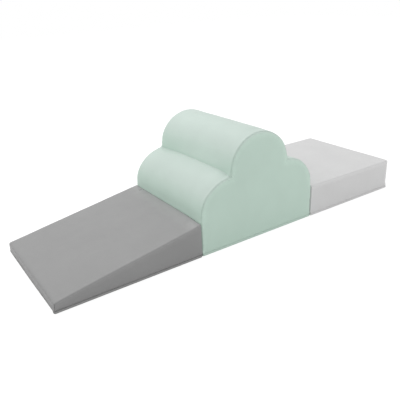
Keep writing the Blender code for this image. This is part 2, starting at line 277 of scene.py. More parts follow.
def nonSlipFinish():
    colour, dotColour = (0.12, 0.12, 0.12), (0.03, 0.03, 0.032)
    made, tree, spot = startFinish("nonSlipBase", colour, 0.85)
    dots = remap(tree, sinesOver(tree, spot, 0.009), 0.35, 0.6, 0.0, 1.0, "SMOOTHSTEP")
    weave = raised(tree, sinesOver(tree, spot, 0.0011), 0.00015)
    return endFinish(
        made,
        Normal=raised(tree, dots, 0.0006, 1.0, weave),
        Base_Color=blended(tree, dots, colour, dotColour),
        Roughness=remap(tree, dots, 0.0, 1.0, 0.9, 0.55),
    )


def foamPattern(tree, spot):
    cells = addNode(tree, "ShaderNodeTexVoronoi", {"Vector": spot, "Scale": 700.0}, "Distance")
    return cells, noiseAt(tree, spot, 5.0, 3.0)


def threadPattern(tree, spot):
    values = {"Vector": spot, "Scale": 700.0, "Distortion": 1.5}
    return [addNode(tree, "ShaderNodeTexWave", values, "Fac", bands_direction="DIAGONAL")] * 2


def twillPattern(tree, spot):
    axes = addNode(tree, "ShaderNodeSeparateXYZ", {0: spot}, None).outputs
    slanted = maths(tree, "ADD", axes[0], maths(tree, "PINGPONG", axes[2], 0.0016))
    wave = maths(tree, "SINE", maths(tree, "MULTIPLY", slanted, 2 * pi / 0.0009))
    return [remap(tree, wave, -1.0, 1.0, 0.0, 1.0)] * 2


def noisePattern(*settings):
    return lambda tree, spot: [noiseAt(tree, spot, *settings)] * 2


def metalPattern(tree, spot):
    return noiseAt(tree, spot, 1400.0, 3.0, 0.6), noiseAt(tree, spot, 240.0, 4.0, 0.7, 1.2)


def patterned(name, colour, roughness, pattern, depth, tones, gloss=None, **sockets):
    # pattern gives what is raised and what shades; tones: its range, then the shades at both ends;
    # gloss: where it isn't even, the noise it follows (none: the shading), its range and roughness
    made, tree, spot = startFinish(name, colour, roughness, **sockets)
    height, stain = pattern(tree, spot)
    tone = shaded(tree, colour, remap(tree, stain, *tones))
    endFinish(made, Normal=raised(tree, height, depth), Base_Color=tone)
    if gloss:
        wear = noiseAt(tree, spot, gloss[0]) if gloss[0] else stain
        endFinish(made, Roughness=remap(tree, wear, *gloss[1:]))
    return made


coverCloths, bindingCloths, seamThreads = {}, {}, {}
for name, finish in coverFinishes.items():
    coverCloths[name] = coatedCloth(name + "CoatedCloth", **finish)
    rougher = {**finish, "roughness": finish["roughness"] + 0.05}
    bindingCloths[name] = coatedCloth(name + "BindingCloth", **rougher)
    threadColour, tones = [c * 0.94 for c in finish["colour"]], (0.0, 1.0, 0.85, 1.0)
    settings = name + "SeamThread", threadColour, 0.6, threadPattern, 0.00006, tones
    seamThreads[name] = patterned(*settings, Sheen_Weight=0.2)
nonSlip = nonSlipFinish()
foam = patterned("openCellFoam", (0.85, 0.82, 0.74), 0.95, foamPattern, 0.0004, (0.3, 0.7, 0.93, 1.0))
tones = 0.0, 1.0, 0.7, 1.05
zipTape = patterned("zipTapeTwill", (0.2, 0.2, 0.2), 0.88, twillPattern, 0.00012, tones, Sheen_Weight=0.3)
tones, gloss = (0.3, 0.7, 0.85, 1.1), (60.0, 0.3, 0.7, 0.32, 0.46)
zipNylon = patterned("zipCoilNylon", (0.16, 0.16, 0.16), 0.38, noisePattern(900.0), 0.00003, tones, gloss)
tones, gloss = (0.3, 0.7, 1.06, 0.86), (None, 0.35, 0.7, 0.24, 0.5)
settings = "zipCastMetal", (0.6, 0.6, 0.62), 0.33, metalPattern, 0.00002, tones, gloss
zipMetal = patterned(*settings, Metallic=1.0)
gripFields = {}
for kind, scale, depth, rough in (("loopPile", 900.0, 0.0007, 0.98), ("hookField", 1500.0, 0.0004, 0.7)):
    fuzz, tones = noisePattern(scale, 4.0, 0.75, 2.0), (0.25, 0.75, 0.6, 1.08)
    gripFields[kind] = patterned(kind, (0.75, 0.75, 0.75), rough, fuzz, depth, tones, Sheen_Weight=0.4)
print("finishes mixed")


def reshape(piece, *jobs):
    shape = bmesh.new()
    shape.from_mesh(piece.data)
    for job in jobs:
        job(shape)
    shape.to_mesh(piece.data)
    shape.free()


def mergeClose(shape):
    bmesh.ops.remove_doubles(shape, verts=shape.verts, dist=0.0002)


def dropLoose(shape):
    bmesh.ops.delete(shape, geom=[v for v in shape.verts if not v.link_faces], context="VERTS")


def turnOut(shape):
    bmesh.ops.recalc_face_normals(shape, faces=shape.faces)


def makePiece(name, points, faces, finish, attributes=None, jobs=(), sharp=None):
    # jobs: what is done to the mesh; sharp: degrees from which an edge isn't smoothed
    mesh = bpy.data.meshes.new(name)
    mesh.from_pydata([tuple(p) for p in points], [], faces)
    for key, values in (attributes or {}).items():
        layer = mesh.attributes.new(key, "FLOAT", "POINT")
        layer.data.foreach_set("value", np.asarray(values, np.float32))
    mesh.validate()
    mesh.materials.append(finish)
    piece = newObject(name, mesh)
    if jobs:
        reshape(piece, *jobs)
    mesh.shade_smooth()
    if sharp:
        mesh.set_sharp_from_angle(angle=radians(sharp))
    return piece


def dress(piece, body, slotName, *nodes):
    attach(piece, body)
    if nodes:
        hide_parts(*nodes)


def gridFaces(rows, columns, first=0, closed=False):
    faces = []
    for r in range(rows - 1):
        a, b = first + r * columns, first + (r + 1) * columns
        for c in range(columns if closed else columns - 1):
            d = (c + 1) % columns
            faces.append((a + c, a + d, b + d, b + c))
    return faces


def tubeFaces(rows, columns, first=0):
    # closed rings with a cap on each end
    last = first + (rows - 1) * columns
    caps = [tuple(range(first + columns - 1, first - 1, -1)), tuple(range(last, last + columns))]
    return gridFaces(rows, columns, first, closed=True) + caps


def slabFaces(rows, columns):
    # a sheet, its back and the band round both
    count = rows * columns
    rim = list(range(columns)) + [r * columns + columns - 1 for r in range(1, rows)]
    rim += [count - columns + c for c in range(columns - 2, -1, -1)]
    rim += [r * columns for r in range(rows - 2, 0, -1)]
    band = [(a, b, b + count, a + count) for a, b in zip(rim, rim[1:] + rim[:1])]
    return gridFaces(rows, columns) + [face[::-1] for face in gridFaces(rows, columns, count)] + band


def gridNormals(grid, closed=False):
    # outward directions, for columns that run over the block and rows that run along +Y
    wide = np.concatenate([grid[:, -1:], grid, grid[:, :1]], axis=1) if closed else grid
    along = np.gradient(wide, axis=1)
    out = np.cross(along[:, 1:-1] if closed else along, np.gradient(grid, axis=0))
    return out / np.maximum(np.linalg.norm(out, axis=2, keepdims=True), 1e-12)


def treeOf(spots):
    tree = kdtree.KDTree(len(spots))
    for k, spot in enumerate(spots):
        tree.insert(spot, k)
    tree.balance()
    return tree


def runOf(line):
    # the distance along a line of points
    return np.concatenate([[0], np.cumsum(np.linalg.norm(np.diff(line, axis=0), axis=1))])


def wander(points, scale, seed):
    # smooth noise between about -1 and 1 at each point
    spots = np.asarray(points) * scale + (seed, -seed, 0)
    return 1.6 * np.array([noise.noise(Vector(spot)) for spot in spots])


def wanderAlong(values, length, a, b):
    return np.array([noise.noise(Vector((v / length, a, b))) for v in values])


def eased(values, low, high):
    share = np.clip((np.asarray(values) - low) / (high - low), 0, 1)
    return share * share * (3 - 2 * share)


def bell(values, width):
    return np.exp(-((np.asarray(values) / width) ** 2))


stitchLooks = {
    "seam": {"pitch": 0.0052, "length": 0.0034, "round": 0.00032, "bow": 0.0002, "slant": radians(38)},
    "binding": {"pitch": 0.0046, "length": 0.0033, "round": 0.00032, "bow": 0.0002, "slant": 0.0},
    "strip": {"pitch": 0.0046, "length": 0.0033, "round": 0.00026, "bow": 0.0001, "slant": 0.0},
}


def sewThread(name, body, slotName, kind, line, outs, lift=0.0, side=1):
    # short threads at an even pitch along a line of points, lying along it and bowed up from the
    # cloth; lift: how far they stand off it
    look = stitchLooks[kind]
    slant = look["slant"] * side
    line, outs = np.asarray(line), np.asarray(outs)
    run, pitch = runOf(line), look["pitch"]
    places = np.arange(pitch / 2, run[-1], pitch)

    def at(spots, values):
        return np.column_stack([np.interp(spots, run, values[:, k]) for k in range(3)])

    points, faces = [], []
    rings = ((-0.5, 0.35, 0.0), (-0.36, 0.95, 0.55), (0.0, 1.0, 1.0), (0.36, 0.95, 0.55), (0.5, 0.35, 0.0))
    angles = [2 * pi * k / 5 for k in range(5)]
    turned, along = at(places, outs), at(places + pitch / 4, line) - at(places - pitch / 4, line)
    for spot, out, way in zip(at(places, line) + turned * lift, turned, along):
        out, way = Vector(out).normalized(), Vector(way).normalized()
        across = out.cross(way).normalized()
        way = (way * cos(slant) + across * sin(slant)).normalized()
        across = out.cross(way).normalized()
        faces += tubeFaces(len(rings), len(angles), len(points))
        for place, share, bow in rings:
            centre = Vector(spot) + way * (place * look["length"]) + out * (look["bow"] * bow)
            points += [centre + look["round"] * share * (cos(a) * out + sin(a) * across) for a in angles]
    dress(makePiece(name, points, faces, seamThreads[body]), body, slotName)


blockSizes = {
    # edge: where the wrap turns into a side panel; turn: how far round that edge the seam lies;
    # lean: how far the seams lie inside the side planes;
    # flare: how far the sides stand out at each end, on the near side and on the far one;
    # worn: how far the near top edge has sunk; farLoft and farLean: how far the far half is up and left;
    # square: how square each upright edge is where it presses on its neighbour, up to squareBelow;
    # swell: how far each end stands out to meet its neighbour, none at a free end
    "ramp": {
        "start": -0.9865, "length": 0.6795, "leftHeight": 0.0500, "rightHeight": 0.1668,
        "edge": 0.0115, "turn": radians(50), "lean": 0.0006,
        "flare": ((0.0055, 0.0010), (0.0062, 0.0020)),
        "worn": 0.0078, "farLoft": 0.0006, "farLean": 0.0,
        "noseSkew": 0.0042,  # how far the nose is turned from square, at its sides
        "soil": 0.17,  # painted shade: how dark the nose and the sides beside it are painted
        "climb": 5.0,  # painted light: how much paler the top end is painted beside the cloud
        "square": (0, 0.85), "squareBelow": 1.0, "swell": (0, 0.0024),
    },
    "cloud": {
        "start": -0.302, "length": 0.670, "height": 0.511,
        "sideBumpHeight": 0.343, "sideBumpRound": 0.169, "topBumpRound": 0.168,
        "edge": 0.0100, "turn": radians(48), "lean": 0.0045,
        "flare": ((0.0, 0.0), (0.0015, 0.0010)),
        "farLoft": 0.0018, "farLean": 0.0035,
        "square": (0.0, 0.6), "squareBelow": 0.172, "swell": (0.0023, 0.0018),
        # how far the ramp-side bump has sunk at its near and far sides, and the crest at the near side
        "bumpSag": (0.0080, 0.0048, 0.0012),
        "span": 0.0100,  # how far the cloth bridges the valleys between the seams
        "spanReach": 0.035,
        "bulge": 0.0068,  # how far its end stands out over the platform
        "flankLean": 0.0042,  # and the flank above that
    },
    "platform": {
        "start": 0.373, "length": 0.612, "leftHeight": 0.1670, "rightHeight": 0.1670,
        "edge": 0.0125, "turn": radians(52), "lean": 0.0008,
        "flare": ((0.0010, 0.0040), (0.0015, 0.0015)),
        "worn": 0.0010, "farLoft": 0.0015, "farLean": 0.0,
        "square": (0.6, 0), "squareBelow": 1.0, "swell": (0.0018, 0),
    },
}

coverShape = {
    "halfWidth": 0.300,
    "cornerRound": 0.010,  # where the wrap turns down over a free end
    "pressedRound": 0.005,
    "cornerColumns": 7,
    "foot": 0.0101,  # height of the cover's lower edge
    "topCrown": 0.0036,
    "step": 0.0038,  # column spacing
    "grooveWidth": 0.0012,
    "shadeWidth": 0.0011,
    "puffReach": 0.005,
    "footReach": 0.0050,
    "puckerReach": 0.009,
    "seamReach": 0.09,  # beyond this the cloth lies as if there were no seam
    "sway": 0.0005,
    "bridge": 0.0045,  # how far the cloth spans the valleys beside a seam
    "clothThickness": 0.0011,
    "fillSpacing": 0.010,  # points inside a side panel
    "zipMargin": 0.045,
    "zipSpacing": 0.005,
    "openingRing": 8,  # the ring that lies on the zip opening's upper edge
}

seamLooks = {
    # strength: how much of the groove, its painted shade and its folds shows away from the nose;
    # puff: how far the cloth stands up beside the seam; lift: how far the seam's stitches stand off;
    # footPull and footShade: how far the cloth is drawn in to the binding, and how dark it is painted there,
    # a painted shade
    "ramp": {
        "groove": 0.0013, "shade": 0.80, "strength": 0.12, "pucker": 0.0006, "puff": 0.0003,
        "lift": 0.0001, "footPull": 0.0009, "footShade": 0.05,
    },
    "cloud": {
        "groove": 0.0003, "shade": 0.09, "strength": 1.0, "pucker": 0.0017, "puff": 0.0006,
        "lift": 0.0007, "footPull": 0.0008, "footShade": 0.10,
    },
    "platform": {
        "groove": 0.0013, "shade": 0.5, "strength": 0.12, "pucker": 0.0006, "puff": 0.0003,
        "lift": 0.0001, "footPull": 0.0006, "footShade": 0.02,
    },
}

footSteps = (0.0, 0.0008, 0.0018, 0.0030, 0.0046, 0.0066, 0.0090)  # columns close to the foot
# distances from a seam of the rings on a panel and of the rows on the wrap
panelSteps = (0.0, 0.0006, 0.0012, 0.0019, 0.0028, 0.0040, 0.0057, 0.0079, 0.0107, 0.0137)
panelSteps = {"ramp": panelSteps, "cloud": (*panelSteps, 0.0166, 0.0196), "platform": panelSteps}
wrapSteps = (
    0.0, 0.0006, 0.0012, 0.0019, 0.0028, 0.0040, 0.0056, 0.0076, 0.010, 0.013, 0.017, 0.022, 0.028, 0.036,
    0.047, 0.062, 0.081, 0.104, 0.131, 0.161, 0.194, 0.229, 0.265,
)


def uprightRun(foot, top, plainTop):
    # heights from the foot of an end to where it starts to turn, as many for every inset
    tall = plainTop - coverShape["foot"]
    count = max(1, round((tall - footSteps[-1]) / coverShape["step"]))
    plain = np.concatenate([footSteps, np.linspace(footSteps[-1], tall, count + 1)[1:]])
    return (foot + plain * (top - foot) / tall)[:-1]


def turnedArc(centre, radius, start, end, count):
    a = np.linspace(start, end, count + 1)
    return np.column_stack([centre[0] + radius * np.cos(a), centre[1] + radius * np.sin(a)])


def roundedCorner(corner, start, end, inset, radius):
    # a rounded corner between two straight runs, whose outward directions are start and end
    first, second = np.array([cos(start), sin(start)]), np.array([cos(end), sin(end)])
    full = max(radius, inset + 0.0015)
    centre = np.array(corner) - full * (first + second) / (1 + first @ second)
    return turnedArc(centre, full - inset, start, end, coverShape["cornerColumns"])


def withEnds(size, inset, rise, middle, fall):
    # the middle of a path between its two upright ends
    before, after = np.full(len(rise), inset), np.full(len(fall), size["length"] - inset)
    return np.concatenate([np.column_stack([before, rise]), *middle, np.column_stack([after, fall])])


def lowBlockPath(size, inset, foot):
    # the wrap's path over the ramp or platform: x, z and share of the crown
    length, left, right = size["length"], size["leftHeight"], size["rightHeight"]
    radii = [coverShape["pressedRound" if swell else "cornerRound"] for swell in size["swell"]]
    slope = atan2(right - left, length)
    front = roundedCorner((0, left), pi, pi / 2 + slope, inset, radii[0])
    back = roundedCorner((length, right), pi / 2 + slope, 0.0, inset, radii[1])
    rise = uprightRun(foot, front[0, 1], left - radii[0])
    fall = uprightRun(foot, back[-1, 1], right - radii[1])[::-1]
    shares = np.linspace(0, 1, round(length / coverShape["step"]) + 1)[1:-1]
    run = front[-1] + shares[:, None] * (back[0] - front[-1])
    crown = [np.zeros(len(rise) + len(front)), 1 - (2 * shares - 1) ** 4, np.zeros(len(back) + len(fall))]
    return np.column_stack([withEnds(size, inset, rise, [front, run, back], fall), np.concatenate(crown)])


def cloudPath(size, inset, foot):
    # the wrap's path over the cloud: two quarter bumps with the top bump between them
    sideRound, topRound = size["sideBumpRound"] - inset, size["topBumpRound"] - inset
    sideCentre = np.array([size["sideBumpRound"], size["sideBumpHeight"] - size["sideBumpRound"]])
    topCentre = np.array([size["length"] / 2, size["height"] - size["topBumpRound"]])
    apart = topCentre - sideCentre
    gap = np.linalg.norm(apart)
    along = (sideRound**2 - topRound**2 + gap**2) / (2 * gap)
    up = sqrt(sideRound**2 - along**2)
    valley = sideCentre + along * apart / gap + up * np.array([-apart[1], apart[0]]) / gap
    sideEnd = atan2(*(valley - sideCentre)[::-1])
    topStart = atan2(*(valley - topCentre)[::-1]) % (2 * pi)
    sideCount = round(size["sideBumpRound"] * 1.62 / coverShape["step"])
    topCount = 2 * round(size["topBumpRound"] * 1.88 / coverShape["step"])
    left = turnedArc(sideCentre, sideRound, pi, sideEnd, sideCount)
    top = turnedArc(topCentre, topRound, topStart, pi - topStart, topCount)
    right = left[::-1] * (-1, 1) + (size["length"], 0)
    rise = uprightRun(foot, sideCentre[1], sideCentre[1])
    flat = withEnds(size, inset, rise, [left, top[1:-1], right], rise[::-1])
    size["valleys"] = (len(rise) + sideCount, len(flat) - 1 - len(rise) - sideCount)
    for middle in size["valleys"]:  # the fold in a valley is soft, not a knife cut
        before, after = flat[middle - 2 : middle + 1], flat[middle : middle + 3]
        flat[middle - 1 : middle + 2] = 0.5 * flat[middle - 1 : middle + 2] + 0.25 * (before + after)
    flat[:, 1] += 0.0015 * eased(flat[:, 1], 0.1, 0.5)
    return np.column_stack([flat, np.zeros(len(flat))])


def blockPath(name, inset, foot):
    return (cloudPath if name == "cloud" else lowBlockPath)(blockSizes[name], inset, foot)


def pressed(size, z):
    # 1 as high up as a neighbour presses on the block's ends, 0 above that
    return 1 - eased(z, size["squareBelow"] - 0.012, size["squareBelow"] + 0.012)


def squareEnds(name, x, z, inset):
    # where a block presses on its neighbour its upright edges are squarer
    size, moved = blockSizes[name], np.array(x)
    for end, share in enumerate(size["square"]):
        plane = size["length"] - inset if end else inset
        moved += (1 if end else -1) * share * inset * bell(x - plane, 0.012) * pressed(size, z)
    return moved


def edgeSpot(name, reach):
    # inset and depth at a distance from the seam, below zero on the wrap and above on the panel
    bend = blockSizes[name]["edge"]
    a = blockSizes[name]["turn"] + reach / bend
    if a < 0:
        return 0.0, a * bend
    if a > pi / 2:
        return bend + (a - pi / 2) * bend, bend
    return bend * (1 - cos(a)), bend * sin(a)


def edgeDepth(name, side, out=0.0):
    return side * (coverShape["halfWidth"] - blockSizes[name]["edge"] + out)


def panelDepth(name, side):
    return edgeDepth(name, side, blockSizes[name]["edge"])


def sliceAt(name, inset, y, foot):
    # one slice of the cover across the block at the depth y
    path = blockPath(name, inset, foot)
    across = 1 - min(abs(y) / edgeDepth(name, 1), 1) ** 4
    x = squareEnds(name, path[:, 0], path[:, 1], inset) + blockSizes[name]["start"]
    z = path[:, 1] + coverShape["topCrown"] * path[:, 2] * across
    return np.column_stack([x, np.full(len(path), y), z])


def wrapGrid(name, steps):
    # rows from the near seam to the far one, with their distances from the nearer seam
    rows, reaches = [], []
    for side, order in ((-1, steps), (1, steps[::-1])):
        for step in order:
            inset, out = edgeSpot(name, -step)
            rows.append(sliceAt(name, inset, edgeDepth(name, side, out), coverShape["foot"]))
            reaches.append(-step)
        if side == -1:
            rows.append(sliceAt(name, 0.0, 0.0, coverShape["foot"]))
            reaches.append(-coverShape["halfWidth"])
    return np.array(rows), np.array(reaches)


def bottomColumns(name, inset):
    # x along a panel's lower edge, from right to left, with columns on the zip opening's ends
    length, margin = blockSizes[name]["length"], coverShape["zipMargin"]
    inner = np.linspace(margin, length - margin, round((length - 2 * margin) / coverShape["zipSpacing"]) + 1)
    ends = np.linspace(0, margin, 10)[1:-1]
    squeeze = inset + ends * (margin - inset) / margin
    return np.concatenate([length - squeeze, inner[::-1], squeeze[::-1]])


def panelRings(name, side, steps):
    # closed rings from the seam inwards, each over the block and back along the foot
    rings, size = [], blockSizes[name]
    for step in steps:
        inset, out = edgeSpot(name, step)
        y, height = edgeDepth(name, side, out), coverShape["foot"] + step
        x = bottomColumns(name, inset)
        fromEnd = np.minimum(x, size["length"] - x) - inset
        depth = y + (panelDepth(name, side) - y) * eased(fromEnd, 0.0, 0.018)
        heights = np.full(len(x), height)
        lower = np.column_stack([squareEnds(name, x, heights, inset) + size["start"], depth, heights])
        rings.append(np.concatenate([sliceAt(name, inset, y, height), lower]))
    return np.array(rings)


def seamStrength(name, runs):
    # the ramp's seams are drawn in only round its nose, and the cloud's fade in its valleys
    base = seamLooks[name]["strength"]
    nose = np.exp(-((runs / 0.045) ** 4)) if name == "ramp" else 0 * runs
    strength = base + (1 - base) * nose
    for valley in blockSizes[name].get("valleyRuns", ()):
        strength = strength * (1 - 0.8 * bell(runs - valley, 0.022))
    return strength


def seamSwell(name, runs, reach, side):
    # how far the cloth stands out or sinks along a row beside a seam
    shape, look, off, onPanel = coverShape, seamLooks[name], abs(reach), reach > 0
    if off > shape["seamReach"]:
        return np.zeros(len(runs))
    share = 1.5 if onPanel else 0.6
    sink = -look["groove"] * seamStrength(name, runs) * bell(off, shape["grooveWidth"])
    puff = look["puff"] * share * bell(off - shape["puffReach"], 0.7 * shape["puffReach"])
    drag = off * (0.5 if onPanel else -0.35)  # the folds lean
    near = wanderAlong(runs + drag, 0.0080, side * 3.1, 0.7)
    far = wanderAlong(runs - drag, 0.021, side * 5.7, 9.2)
    fold = 0.9 * near - 0.5 * np.maximum(0.0, 0.35 - np.abs(near)) / 0.35
    fold *= np.exp(-off / shape["puckerReach"])
    fold += 0.9 * far * np.exp(-off / (2.4 * shape["puckerReach"]))
    held = 1 - 0.6 * bell(off, 0.0016)
    strength, span = np.full(len(runs), share), np.zeros(len(runs))
    for valley in blockSizes[name].get("valleyRuns", ()):
        strength += 1.3 * bell(runs - valley, 0.028)
        span += shape["bridge"] * bell(runs - valley, 0.011) * bell(off, 0.006 if onPanel else 0.022)
    return sink + puff + strength * look["pucker"] * fold * held + span


def seamLean(name, off, z, side, onPanel):
    # the seam lies a little inside the side's plane, and the panel swells out from it
    fade = eased(z, coverShape["foot"], coverShape["foot"] + 0.022)
    share = np.clip(1 - np.asarray(off) / 0.036, 0, 1) ** 2 if onPanel else bell(off, 0.022)
    return -side * blockSizes[name]["lean"] * share * fade * (1 + 0.35 * eased(z, 0.42, 0.50))


def footPull(name, spots, shade=False):
    look, rise = seamLooks[name], spots[:, 2] - coverShape["foot"]
    share = 1 - 0.75 * eased(spots[:, 1], 0.26, 0.285)
    if name == "ramp":
        share = share * (1 - 0.75 * bell(spots[:, 0] - blockSizes[name]["start"], 0.006))
    # painted shade in the crease along the foot
    if shade:
        return look["footShade"] * share * bell(rise, 0.0026)
    return -look["footPull"] * share * bell(rise, coverShape["footReach"])


def alongBlock(size, x):
    return np.clip((x - size["start"]) / size["length"], 0, 1)


def sideFlare(name, x, y, z):
    # how far a side stands out along Y, none where the zip and its opening are
    size = blockSizes[name]
    near, far = [ends[0] + (ends[1] - ends[0]) * alongBlock(size, x) for ends in size["flare"]]
    above = eased(z, 0.028, 0.048)
    if name == "ramp":
        above = np.maximum(above, 1 - eased(x - size["start"], 0.014, 0.040))
    return eased(y, 0.1, 0.3) * far * above - eased(-y, 0.1, 0.3) * near


def settled(name, x, y, z):
    # how far the cover has sunk: the ramp-side bump, or the near top edge that is climbed over
    size, foot = blockSizes[name], coverShape["foot"]
    if "bumpSag" in size:
        near, far, crest = size["bumpSag"]
        sag = near * (1 - eased(y, -0.3, -0.235)) + far * eased(y, 0.14, 0.29)
        sag *= eased(z, 0.235, 0.325) * (1 - eased(z, 0.35, 0.43))
        sag *= 1 - eased(x - size["start"], 0.20, 0.30)
        return -sag - crest * eased(-y, 0.2, 0.3) * eased(z, 0.42, 0.50)
    share = alongBlock(size, x)
    top = size["leftHeight"] + (size["rightHeight"] - size["leftHeight"]) * share
    up = np.clip((z - foot) / (top - foot), 0, 1)
    along = (1 + 0.3 * eased(share, 0.35, 0.7)) * (1 - 0.5 * eased(share, 0.93, 1.0))
    return -size["worn"] * up * eased(-y, 0.17, 0.30) * along


def leaned(name, x, y, z):
    # how far the cover leans along the row: the cloud's far side, its flank over the platform and
    # the ramp's nose, which is a little askew
    size = blockSizes[name]
    crest = eased(z, 0.34, 0.42)
    far = size["farLean"] * eased(y, 0.0, 0.27) * eased(z, 0.17, 0.23) * (1 + 1.1 * crest)
    inner = np.maximum(eased(z, 0.004, 0.034), 1 - eased(-y, 0.270, 0.297))
    turned = np.where(y > 0, 0.35, 0.3 + 0.7 * inner) * y / coverShape["halfWidth"]
    skew = size.get("noseSkew", 0.0) * turned * (1 - eased(x - size["start"], 0.0, 0.05))
    flank = size.get("flankLean", 0.0) * eased(x, 0.10, 0.20) * eased(z, 0.20, 0.30)
    return flank - far * (1 - (1 - crest) * eased(x, -0.1, 0.06)) - skew


def spanned(name, x, y, z):
    # away from its seams the cloth bridges the cloud's two valleys; gives how far it moves in x and z
    size = blockSizes[name]
    if "span" not in size:
        return np.zeros((2, len(x)))
    low, high = size["sideBumpRound"], size["sideBumpHeight"]
    share = size["span"] * (1 - eased(y, 0.0, 0.25)) * (1 - eased(-y, 0.19, 0.285)) / sqrt(2)
    fromStart = x - size["start"]
    ends = fromStart, size["length"] - fromStart
    left, right = [bell(np.hypot(fromEnd - low, z - high), size["spanReach"]) for fromEnd in ends]
    return share * (right - left), share * (right + left)


def squareFoot(name, x, y, z):
    # close to the foot the upright edges run squarer into the binding
    size, foot = blockSizes[name], coverShape["foot"]
    low = 0.75 * (1 - eased(z, foot + 0.003, foot + 0.026))
    fromStart, fromFinish = x - size["start"], size["start"] + size["length"] - x
    away = coverShape["halfWidth"] - np.abs(y), np.minimum(fromStart, fromFinish)
    aside, along = [low * (1 - eased(gap, 0.4 * size["edge"], 1.2 * size["edge"])) * gap for gap in away]
    return np.where(fromStart < fromFinish, -along, along), np.sign(y) * np.maximum(aside, 0)


def endPlanes(size):
    # for each end its swell, its plane and the way it faces
    planes = size["start"], size["start"] + size["length"]
    return list(zip(size["swell"], planes, (-1, 1)))


def endSwell(name, x, y, z):
    # how far the pressed ends stand out round the hook and loop strips
    size = blockSizes[name]
    strip = (1 - eased(np.abs(y), 0.255, 0.272)) * (1 - eased(z, 0.110, 0.122))
    shape = (1 - strip) * eased(z, 0.010, 0.020) * pressed(size, z)
    total = np.zeros(len(x))
    for swell, plane, way in endPlanes(size):
        total += way * swell * bell(x - plane, 0.010) * shape
    if "bulge" in size:
        over = bell(z - 0.225, 0.045) * eased(z, 0.168, 0.185)
        total += size["bulge"] * over * bell(x - size["start"] - size["length"], 0.035)
    return total


fillSetup = {
    # the foam's push on the covers, found with a cloth cage over each block
    "cageStep": 0.017,
    "wrapSteps": (0.0, 0.008, 0.020, 0.036, 0.054, 0.074, 0.096, 0.120, 0.146, 0.174, 0.204, 0.234, 0.264),
    "panelSteps": (0.0, 0.008, 0.020),
    "frames": 20,
    "quality": 5,
    "mass": 0.3,
    "stretch": 15,  # stiffness against stretching, shearing and bending
    "shear": 5,
    "bend": 0.5,
    "pressure": 4.0,
    "foamHold": 0.62,  # how firmly the foam holds the cover where it lies flat
    "holdStiffness": 10.0,
    "seamShrink": 0.035,
    "cap": 0.0030,  # the farthest that any point moves
    "spread": 0.013,  # how far a cage point carries the cover round it along
    "neighbours": 8,
}


def insideOutline(outline, x, z):
    inside = False
    for a, b in zip(outline, outline[1:] + outline[:1]):
        if (a.y > z) != (b.y > z) and x < a.x + (z - a.y) * (b.x - a.x) / (b.y - a.y):
            inside = not inside
    return inside


def fillPanel(name, side, ring, spacing, ringFirst, innerFirst):
    # new points inside a panel's last ring and the triangles over them; ringFirst and innerFirst
    # are the numbers of the ring's first point and of the first new one
    outline = [Vector((p[0], p[2])) for p in ring]
    count = len(outline)
    low, high = ring.min(0), ring.max(0)
    tree = treeOf([(*p, 0) for p in outline])
    rowRise = spacing * 0.866
    inner = []
    for r in range(int((high[2] - low[2]) / rowRise) + 1):
        z = low[2] + spacing * 0.5 + r * rowRise
        x = low[0] + spacing * (0.5 if r % 2 else 1.0)
        while x < high[0]:
            if insideOutline(outline, x, z) and tree.find((x, z, 0))[2] > spacing * 0.55:
                inner.append(Vector((x, z)))
            x += spacing
    edges = [(k, (k + 1) % count) for k in range(count)]
    made = delaunay_2d_cdt(outline + inner, edges, [], 1, 1e-7)
    place, added = {}, []
    for k, p in enumerate(made[0]):
        known = [o for o in made[3][k] if o < count]
        place[k] = ringFirst + known[0] if known else innerFirst + len(added)
        if not known:
            added.append((p[0], panelDepth(name, side), p[1]))
    return added, [tuple(place[k] for k in (t if side < 0 else t[::-1])) for t in made[2]]


def thinned(line):
    # the columns of a row that stand about one cage step apart
    run = runOf(line)
    count = max(2, round(run[-1] / fillSetup["cageStep"]))
    return sorted({int(np.argmin(np.abs(run - place))) for place in np.linspace(0, run[-1], count + 1)})


def buildCage(name):
    # a coarse copy of the whole cover, sewn up along its seams
    rows, reaches = wrapGrid(name, fillSetup["wrapSteps"])
    over = rows.shape[1]
    chosen = thinned(rows[len(rows) // 2])
    points = list(rows[:, chosen].reshape(-1, 3))
    seam = [1.0 if abs(reach) < 1e-9 else 0.0 for reach in reaches for _ in chosen]
    faces = gridFaces(len(rows), len(chosen))
    for side in (-1, 1):
        rings = panelRings(name, side, fillSetup["panelSteps"])
        picked = rings[:, chosen + [over + k for k in thinned(rings[0, over:])]]
        first, columns = len(points), picked.shape[1]
        points += list(picked.reshape(-1, 3))
        ringFaces = gridFaces(len(picked), columns, first, closed=True)
        faces += ringFaces if side > 0 else [face[::-1] for face in ringFaces]
        last = first + (len(picked) - 1) * columns
        inner, triangles = fillPanel(name, side, picked[-1], fillSetup["cageStep"], last, len(points))
        seam += [1.0] * len(chosen) + [0.0] * (len(points) - first - len(chosen) + len(inner))
        points += inner
        faces += triangles
    return makePiece(name + "_fill_cage", points, faces, foam, {"seam": seam}, (mergeClose, dropLoose))


